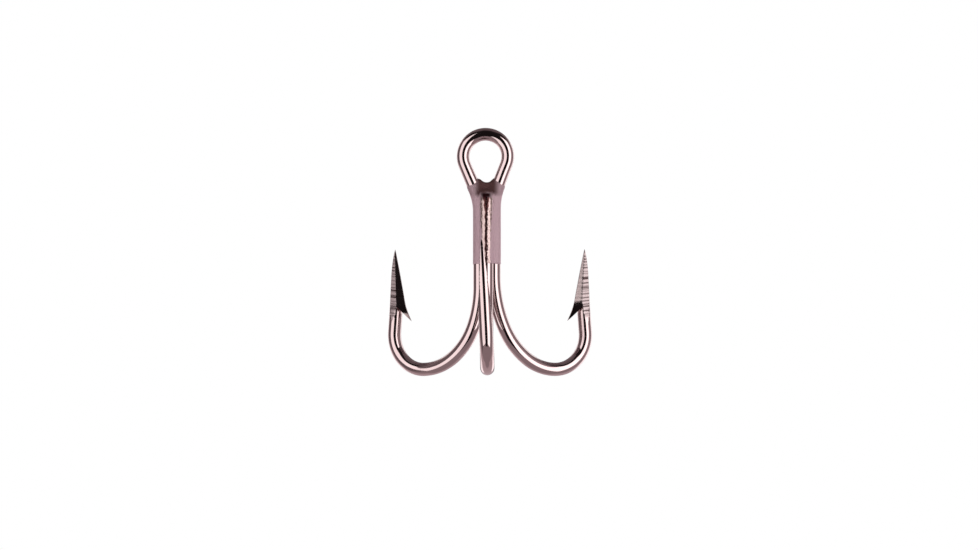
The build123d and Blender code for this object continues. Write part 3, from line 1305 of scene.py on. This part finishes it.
@dataclass
class BrazeCoat:
    """The braze on the wires: a thin coat over the shanks, filled grooves and the web in the crotch.

    The shape is the surface where a field of distances to the wires' centrelines crosses zero, so that the
    coat flows from one wire to the next. Lengths are in millimetres.
    """

    coat: float = 0.035  # on the wires
    groove_blend: float = 0.75  # how far the braze draws the shanks together
    web_blend: float = 0.6
    web_half_width: float = 0.42
    web_top_radius: float = 1.38
    web_hang: float = 1.8  # how far the web reaches below the single hook's end
    foot_roughness: float = 0.16  # how far the lower edge wanders
    edge_size: float = 0.9  # of that edge's bays
    voxel: float = 0.06
    lump_size: float = 0.6
    lump_height: float = 0.018
    cover: float = 0.12  # how much higher the single hook's wire ends than its centreline here
    top_drop: float = 2.0  # where the coat runs out on the eye's inner sides
    top_wander: float = 5.0  # how much more its upper edge wanders than its lower one
    feather: float = 0.7  # over which the coat thins out there
    slope: float = 0.55  # how much lower it runs out towards the outside
    low: tuple[float, float, float] = (-2.9, -2.6, -13.4)  # corners of the field
    high: tuple[float, float, float] = (2.9, 1.1, -1.9)

    def skeleton(self) -> bpy.types.Object:
        """The centrelines that the braze covers, and the web's middle sheet.

        Returns:
            A mesh whose attribute "strand" is 0 on the pair, 1 on the single hook and 2 on the web.
        """
        work = bmesh.new()
        strand = work.verts.layers.int.new("strand")

        def chain(points: list[Vector], kind: int, closed: bool = False) -> None:
            """Adds a run of edges, or one face.

            Args:
                points: the points in order.
                kind: what they belong to.
                closed: whether they bound a face.
            """
            made = [work.verts.new(point * MM) for point in points]
            for vertex in made:
                vertex[strand] = kind
            if closed:
                work.faces.new(made)
            else:
                for here, after in zip(made, made[1:]):
                    work.edges.new((here, after))

        stretches = DoubleHookWire.eye_route().stretches
        for sign in (-1, 1):
            line = [stretch.at(stretch.length * i / 12)[0] for stretch in stretches[:3] for i in range(13)]
            line.insert(0, Vector((line[0].x, line[0].y - 1)))
            chain([eye_plane(Vector((-sign * p.x, p.y))) / MM for p in line], 0)
        single_y = WIRE.axis_y - WIRE.shank_offset
        ends = HEIGHTS.single_top_drop + self.cover, BRAZE_FOOT_DROP + 1
        chain([Vector((0, single_y, -drop)) for drop in ends], 1)
        middle = HEIGHTS.crotch_drop - (self.web_top_radius - self.web_half_width)
        turns = [radians(turn) for turn in range(225, 316, 10)]
        arc = [Vector((self.web_top_radius * cos(turn), 0, self.web_top_radius * sin(turn) - middle))
               for turn in turns]
        foot, half_pitch = HEIGHTS.single_top_drop + self.web_hang, WIRE.pitch / 2
        chain([Vector((-half_pitch, 0, -foot)), *arc, Vector((half_pitch, 0, -foot))], 2, closed=True)
        mesh = bpy.data.meshes.new("braze_skeleton")
        work.to_mesh(mesh)
        work.free()
        return new_object("braze_skeleton", mesh)

    def shape(self, add: AddNode, given: bpy.types.NodeOutputs) -> Socket:
        """Adds the nodes that build the field and turn it into a surface.

        Args:
            add: adds a node.
            given: the group's inputs.

        Returns:
            The bare braze.
        """
        known = dict(given.items())
        strand = add("GeometryNodeInputNamedAttribute", {"Name": "strand"}, data_type="INT")
        parts = (("to_pair", "EDGES"), ("to_single", "EDGES"), ("to_web", "FACES"))
        for number, (name, target) in enumerate(parts):
            chosen = add("FunctionNodeCompare", {2: strand, 3: number}, data_type="INT", operation="EQUAL")
            part = add("GeometryNodeSeparateGeometry", {"Geometry": given["Geometry"], "Selection": chosen})
            known[name] = add("GeometryNodeProximity", {"Target": part}, output="Distance",
                              target_element=target)
        spot = add("GeometryNodeInputPosition")
        known["x"], _, known["z"] = add(SPLIT, (spot,)).node.outputs
        known["lumps"], known["bays"] = (
            add(NOISE, {"Vector": spot, "Scale": 1 / (size * MM), "Detail": detail})
            for size, detail in ((self.lump_size, 2.0), (self.edge_size, 3.0)))
        steps = (
            ("reach", "ADD", "Wire Radius", "Coat"),
            ("bays", "SUBTRACT", "bays", 0.5),
            ("wander", "MULTIPLY", "bays", "Edge Wander"),
            ("aside", "ABSOLUTE", "x"),
            ("fall", "MULTIPLY", "aside", self.slope),
            ("sloped", "ADD", "z", "fall"),
            ("top wander", "MULTIPLY", "wander", self.top_wander),
            ("top shift", "ADD", self.top_drop * MM, "top wander"),
            ("top", "ADD", "sloped", "top shift"),
            ("thinned", "RANGE", "top", -self.feather * MM, 0.0, 0.0, 4 * self.coat * MM),
            ("pair reach", "SUBTRACT", "reach", "thinned"),
            ("pair", "SUBTRACT", "to_pair", "pair reach"),
            ("single", "SUBTRACT", "to_single", "reach"),
            ("web", "SUBTRACT", "to_web", "Web Half Width"),
            ("shanks", "SMOOTH_MIN", "pair", "single", "Groove Blend"),
            ("joined", "SMOOTH_MIN", "shanks", "web", "Web Blend"),
            ("lumps", "SUBTRACT", "lumps", 0.5),
            ("lumps", "MULTIPLY", "lumps", "Lump Height"),
            ("bumpy", "SUBTRACT", "joined", "lumps"),
            ("foot", "ADD", "Foot Height", "wander"),
            ("foot", "SUBTRACT", "foot", "z"),
            ("top", "SUBTRACT", "top", self.feather * MM),
            ("field", "MAXIMUM", "bumpy", "foot"),
            ("field", "MAXIMUM", "field", "top"),
            ("steps out", "DIVIDE", "field", "Voxel"),
            ("density", "SUBTRACT", 0.5, "steps out"),
        )
        for result, operation, *values in steps:
            kind, settings = ((RANGE, {"interpolation_type": "SMOOTHSTEP"}) if operation == "RANGE"
                              else (MATH, {"operation": operation}))
            known[result] = add(kind, tuple(known.get(value, value) for value in values), **settings)
        counts = {f"Resolution {axis}": ceil((high - low) / self.voxel)
                  for axis, low, high in zip("XYZ", self.low, self.high)}
        corners = {"Min": tuple(Vector(self.low) * MM), "Max": tuple(Vector(self.high) * MM)}
        volume = add("GeometryNodeVolumeCube", {"Density": known["density"], "Background": 0.0, **corners,
                                                **counts})
        return add("GeometryNodeVolumeToMesh", {"Volume": volume, "Threshold": 0.5})

    def build(self, finish: bpy.types.Material) -> bpy.types.Object:
        """Builds and dresses the braze.

        Args:
            finish: the braze's finish.

        Returns:
            The finished piece.
        """
        settings = {name: size * MM for name, size in (
            ("Wire Radius", WIRE.radius), ("Coat", self.coat), ("Web Half Width", self.web_half_width),
            ("Groove Blend", self.groove_blend), ("Web Blend", self.web_blend),
            ("Foot Height", -BRAZE_FOOT_DROP), ("Edge Wander", self.foot_roughness),
            ("Lump Height", self.lump_height), ("Voxel", self.voxel))}
        mesh = grown_mesh(self.skeleton(), "braze_flow", self.shape, settings, finish)
        mesh.name = "braze_coat"
        piece = new_object("braze_coat", mesh)
        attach(piece, "root")
        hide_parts("braze")
        return piece


# ------------------------------------------------------------------------------
# The studio


@dataclass(frozen=True)
class Softbox:
    """A soft light box: where it stands, in degrees from the front, and how large it looks."""

    name: str
    azimuth: float
    elevation: float
    half_width: float
    half_height: float
    radiance: float
    distance: float = 600.0

    def build(self, aim: Vector) -> None:
        """Puts the light in its place, facing the point it is aimed at.

        Args:
            aim: the point that it faces.
        """
        width, height = (2 * self.distance * MM * tan(radians(half)) for half in
                         (self.half_width, self.half_height))
        lamp = bpy.data.lights.new(self.name, "AREA")
        lamp.shape, lamp.size, lamp.size_y = "RECTANGLE", width, height
        lamp.energy = self.radiance * pi * width * height
        away = direction(self.azimuth, self.elevation)
        light = new_object(self.name, lamp)
        light.location = aim + away * self.distance * MM
        light.rotation_euler = away.to_track_quat("Z", "Y").to_euler()
        light.visible_camera = False


@dataclass(frozen=True)
class Panel:
    """A patch of the studio's walls that is lighter or darker than the rest, in degrees from the front."""

    azimuth: float
    half_width: float
    low: float
    high: float
    radiance: float
    edge: float = 4.0


def direction(azimuth: float, elevation: float) -> Vector:
    """The way to a place in the studio, with the azimuth in degrees from the front, positive towards +X."""
    turn, lift = radians(azimuth), radians(elevation)
    return Vector((sin(turn) * cos(lift), -cos(turn) * cos(lift), sin(lift)))


@dataclass
class Studio:
    """The pale floor, the soft lights, the walls that the metal mirrors, and the camera."""

    camera_azimuth: float = 2.6
    camera_elevation: float = -2.8
    camera_distance: float = 282.0  # mm from the treble's axis
    lens: float = 87.24
    sensor: float = 36.0
    aim: Vector = field(default_factory=lambda: Vector((0.27, WIRE.axis_y, -14.2)))
    floor_height: float = -46.0
    floor_half: float = 3000.0
    wall: float = 0.46
    ground: float = 0.38
    zenith: float = 0.16
    wall_tint: tuple[float, float, float] = (1.06, 0.84, 0.90)
    softboxes: tuple[Softbox, ...] = (
        Softbox("softbox_right", 46, 3, 20, 37, 2.1),
        Softbox("softbox_left", -41, 3, 25, 37, 1.4),
        Softbox("softbox_back_left", -146, 1, 16, 30, 0.9),
        Softbox("softbox_back_right", 142, 1, 20, 30, 1.2),
    )
    panels: tuple[Panel, ...] = (
        Panel(3, 19, -40, 65, 0.014, 3.0),
        Panel(180, 10, -5, 30, 0.05, 4.0),
        Panel(-97, 28, -30, 30, 0.2, 6.0),
        Panel(112, 16, -30, 30, 0.3, 8.0),
        Panel(180, 70, -60, -14, 0.62, 12.0),
        Panel(0, 90, 42, 60, 0.02, 6.0),
        Panel(180, 80, 30, 75, 0.22, 8.0),
    )

    def build(self) -> None:
        """Builds the whole studio."""
        self.build_floor()
        self.build_camera()
        self.build_walls()
        for softbox in self.softboxes:
            softbox.build(self.aim * MM)

    def build_floor(self) -> None:
        """Lays the floor: a plain light table, below the camera so that it shows as clear white."""
        half, height = self.floor_half * MM, self.floor_height * MM
        mesh = bpy.data.meshes.new("floor")
        mesh.from_pydata([(-half, -half, height), (half, -half, height), (half, half, height),
                          (-half, half, height)], [], [(0, 1, 2, 3)])
        material = bpy.data.materials.new("light_table")
        material.use_nodes = True
        material.node_tree.nodes.clear()
        add = partial(add_node, material.node_tree)
        add("ShaderNodeOutputMaterial", {"Surface": add("ShaderNodeEmission", {"Color": linear("ffffff")})})
        mesh.materials.append(material)
        floor = new_object("floor", mesh)
        floor.visible_glossy = floor.visible_diffuse = False

    def build_camera(self) -> None:
        """Sets up the camera at the low front view."""
        camera = bpy.data.cameras.new("camera")
        camera.lens, camera.sensor_width = self.lens, self.sensor
        camera.clip_start, camera.clip_end = 0.01, 20.0
        holder = new_object("camera", camera)
        away = direction(self.camera_azimuth, self.camera_elevation)
        axis_point = Vector((0, WIRE.axis_y, self.aim.z))
        holder.location = (axis_point + away * self.camera_distance) * MM
        look = holder.location - self.aim * MM
        holder.rotation_euler = look.to_track_quat("Z", "Y").to_euler()
        bpy.context.scene.camera = holder

    def build_walls(self) -> None:
        """Paints the studio's walls in the world: the metal mirrors them, and the backdrop is white."""
        scene = bpy.context.scene
        scene.view_settings.view_transform = "Standard"
        world = bpy.data.worlds.new("studio")
        world.use_nodes = True
        scene.world = world
        world.node_tree.nodes.clear()
        add = partial(add_node, world.node_tree)
        x, y, z = add(SPLIT, (add("ShaderNodeTexCoord", output="Generated"),)).node.outputs
        azimuth = add(MATH, (x, add(MATH, (y, -1.0), operation="MULTIPLY")), operation="ARCTAN2")
        elevation = add(MATH, (z,), operation="ARCSINE")
        smooth = {"interpolation_type": "SMOOTHSTEP"}
        level = add(RANGE, (elevation, radians(-30), radians(0), self.ground, self.wall), **smooth)
        rise = add(RANGE, (elevation, radians(20), radians(60), 0.0, self.zenith - self.wall), **smooth)
        level = add(MATH, (level, rise), operation="ADD")
        for panel in self.panels:
            aside = add(MATH, (azimuth, radians(panel.azimuth)), operation="SUBTRACT")
            aside = add(MATH, (aside, -pi, pi), operation="WRAP")
            aside = add(MATH, (aside,), operation="ABSOLUTE")
            half, low, high, edge = map(radians, (panel.half_width, panel.low, panel.high, panel.edge))
            share = add(MATH, (panel.radiance, level), operation="SUBTRACT")
            for value, start, end, inner, outer in ((aside, half, half + edge, 1.0, 0.0),
                                                    (elevation, low - edge, low, 0.0, 1.0),
                                                    (elevation, high, high + edge, 1.0, 0.0)):
                mask = add(RANGE, (value, start, end, inner, outer), **smooth)
                share = add(MATH, (share, mask), operation="MULTIPLY")
            level = add(MATH, (level, share), operation="ADD")
        tint = add(COMBINE, tuple(add(MATH, (level, share), operation="MULTIPLY")
                                  for share in self.wall_tint))
        walls = add("ShaderNodeBackground", {"Color": tint})
        backdrop = add("ShaderNodeBackground", {"Color": linear("ffffff")})
        camera_ray = add("ShaderNodeLightPath", output="Is Camera Ray")
        add("ShaderNodeOutputWorld", {"Surface": add("ShaderNodeMixShader", (camera_ray, walls, backdrop))})


def main() -> None:
    """Loads the frame and builds the treble and its studio in order."""
    logging.basicConfig(level=logging.INFO, format="%(message)s")
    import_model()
    plating, ground = BlackNickelPlating().build(), GroundPoint().build()
    wires = (
        DoubleHookWire("double_hook_wire", "double_hook",
                       [Hook(Side.LEFT, BRAZE_FOOT_DROP), Hook(Side.RIGHT, BRAZE_FOOT_DROP)]),
        PlatedWire("single_hook_wire", "single_hook", [Hook(Side.FRONT, HEIGHTS.single_top_drop)]),
    )
    for wire in wires:
        piece = wire.build(plating, ground)
        log.info("%s: %d vertices", piece.name, len(piece.data.vertices))
    coat = BrazeCoat().build(DullBrazePlating().build())
    log.info("%s: %d vertices", coat.name, len(coat.data.vertices))
    Studio().build()


if __name__ == "__main__":
    main()
